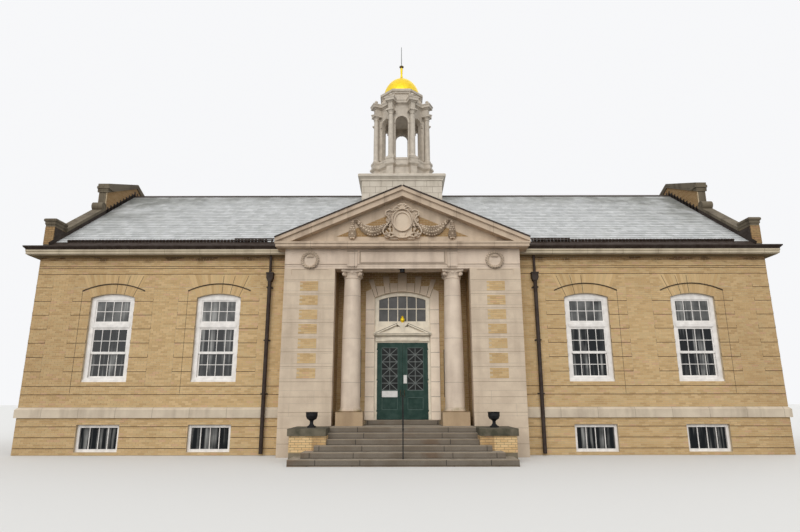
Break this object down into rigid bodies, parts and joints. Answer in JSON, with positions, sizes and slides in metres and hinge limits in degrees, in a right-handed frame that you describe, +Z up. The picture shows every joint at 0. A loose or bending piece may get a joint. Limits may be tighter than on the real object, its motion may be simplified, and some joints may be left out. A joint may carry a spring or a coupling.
{
  "type": "town hall building",
  "caption": "Hollow buff-brick town hall with a slate gable roof, a pedimented stone portico over steps, swinging double doors and an octagonal belfry with a gilded dome.",
  "frame": {"origin": "middle of the footprint box at ground level", "axes": "+X to the right seen from the front, +Y from the front to the back, +Z up"},
  "size_m": [26.04, 14.525, 18.679],
  "materials": {
    "brick": "buff face brick laid in lime mortar, matt",
    "limestone": "pale pinkish limestone, rubbed smooth",
    "granite": "grey-brown granite, sawn and worn",
    "slate": "light grey roofing slate with weathered edges",
    "dark_metal": "dark brown paint on copper and iron",
    "white_paint": "white gloss paint on softwood",
    "cream_paint": "cream paint on softwood",
    "green_paint": "dark green gloss paint on hardwood",
    "cupola_paint": "beige paint on softwood boarding",
    "gilding": "gold leaf, bright",
    "glass": "clear float glass",
    "bronze": "polished brass",
    "black_iron": "black paint on cast and wrought iron",
    "floor_oak": "oak boards, waxed"
  },
  "bodies": {
    "building": {"front_wall_left": "brick", "front_wall_right": "brick", "back_wall": "brick", "gable_wall_left": "brick", "gable_wall_right": "brick", "water_table": "limestone", "eaves_cornice": "limestone", "gutters_and_downspouts": "dark_metal", "roof_front": "slate", "roof_back": "slate", "ridge_and_snow_rails": "dark_metal", "gable_copings": "limestone", "gable_pedestals": "limestone", "window_frames": "white_paint", "window_glass": "glass", "hall_floor": "floor_oak", "portico_piers": "limestone", "brick_inlays": "brick", "porch_side_walls": "brick", "porch_wall_beside": "brick", "porch_wall_over": "brick", "column_bases": "limestone", "column_shafts": "limestone", "column_capitals": "limestone", "entablature": "limestone", "portico_cornice": "limestone", "raking_cornice": "limestone", "tympanum": "limestone", "cartouche": "limestone", "garlands": "limestone", "wreath_roundels": "limestone", "portico_roof": "slate", "porch_ceiling": "cream_paint", "doorway_stone": "limestone", "door_frame": "cream_paint", "door_hood": "cream_paint", "hood_pineapple": "gilding", "transom_glass": "glass", "steps": "granite", "cheek_blocks": "brick", "urns": "black_iron", "handrail": "black_iron", "cupola_base": "cupola_paint", "cupola_pedestal": "cupola_paint", "belfry_arcade": "cupola_paint", "belfry_columns": "cupola_paint", "cupola_entablature": "cupola_paint", "dome": "gilding", "finial": "gilding"},
    "door_left": {"door_leaf_left": "green_paint", "door_glass_left": "glass", "door_handle_left": "bronze"},
    "door_right": {"door_leaf_right": "green_paint", "door_glass_right": "glass", "door_handle_right": "bronze"}
  },
  "joints": [
    {"name": "door_left_hinge", "type": "hinge", "parent": "building", "child": "door_left", "pos_m": [-0.877, -3.4115, 2.3], "axis": [0, 0, -1], "range_deg": [0, 90]},
    {"name": "door_right_hinge", "type": "hinge", "parent": "building", "child": "door_right", "pos_m": [0.877, -3.4115, 2.3], "axis": [0, 0, 1], "range_deg": [0, 90]}
  ]
}
